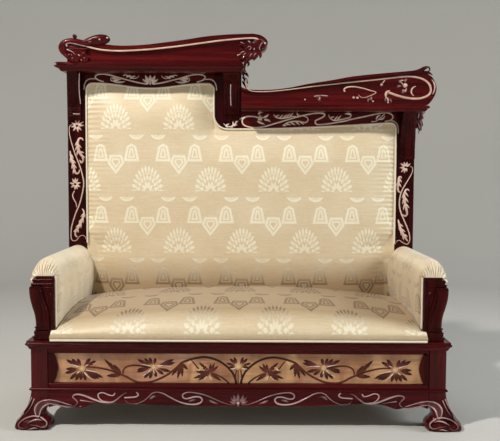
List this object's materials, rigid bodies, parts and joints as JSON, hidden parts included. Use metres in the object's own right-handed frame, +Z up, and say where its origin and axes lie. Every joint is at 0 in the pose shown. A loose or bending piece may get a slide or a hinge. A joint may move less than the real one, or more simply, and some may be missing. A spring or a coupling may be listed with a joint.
{
  "type": "banquette",
  "caption": "Upholstered banquette with rolled arms, a box base on scroll feet and a stepped tall back under overhanging carved crests.",
  "frame": {"origin": "on the floor at the centre of the footprint", "axes": "+X to the right of someone facing the seat, +Y from the front to the back, +Z up"},
  "size_m": [1.752, 0.6917, 1.614],
  "materials": {
    "mahogany": "dark red polished mahogany",
    "maple": "satin golden veneer with dark inlay",
    "damask": "ivory silk damask, soft sheen",
    "cord": "ivory twisted piping",
    "jute": "woven jute webbing",
    "steel": "bare spring wire"
  },
  "bodies": {
    "root": {"arm_pad_left": "damask", "arm_pad_right": "damask", "arm_piping_left": "cord", "arm_piping_right": "cord", "arm_post_left": "mahogany", "arm_post_right": "mahogany", "back_cover": "damask", "back_pad": "damask", "back_piping": "cord", "back_sill": "mahogany", "bead_front": "mahogany", "bead_left": "mahogany", "bead_right": "mahogany", "corbel_left": "mahogany", "corbel_middle": "mahogany", "corbel_right": "mahogany", "cornice_front": "mahogany", "cornice_left": "mahogany", "cornice_right": "mahogany", "front_apron": "mahogany", "front_bottom_rail": "mahogany", "front_leg_left": "mahogany", "front_leg_right": "mahogany", "front_top_rail": "mahogany", "inlaid_panel": "maple", "leaf_bracket_middle": "mahogany", "leaf_bracket_right": "mahogany", "left_crest_back": "mahogany", "left_crest_board": "mahogany", "left_crest_cap": "mahogany", "left_crest_cornice": "mahogany", "left_crest_end_inner": "mahogany", "left_crest_end_outer": "mahogany", "left_crest_flower": "mahogany", "left_crest_scroll": "mahogany", "left_top_rail": "mahogany", "panel_end_left": "mahogany", "panel_end_right": "mahogany", "rear_post_left": "mahogany", "rear_post_right": "mahogany", "rear_rail": "mahogany", "right_crest_back": "mahogany", "right_crest_board": "mahogany", "right_crest_cap": "mahogany", "right_crest_cornice": "mahogany", "right_crest_end": "mahogany", "right_crest_finial": "mahogany", "right_top_rail": "mahogany", "seat_cushion": "damask", "seat_piping": "cord", "seat_webbing": "jute", "side_apron_left": "mahogany", "side_apron_right": "mahogany", "side_rail_left": "mahogany", "side_rail_right": "mahogany", "spring_row_front": "steel", "spring_row_rear": "steel", "step_stile": "mahogany"}
  },
  "joints": []
}
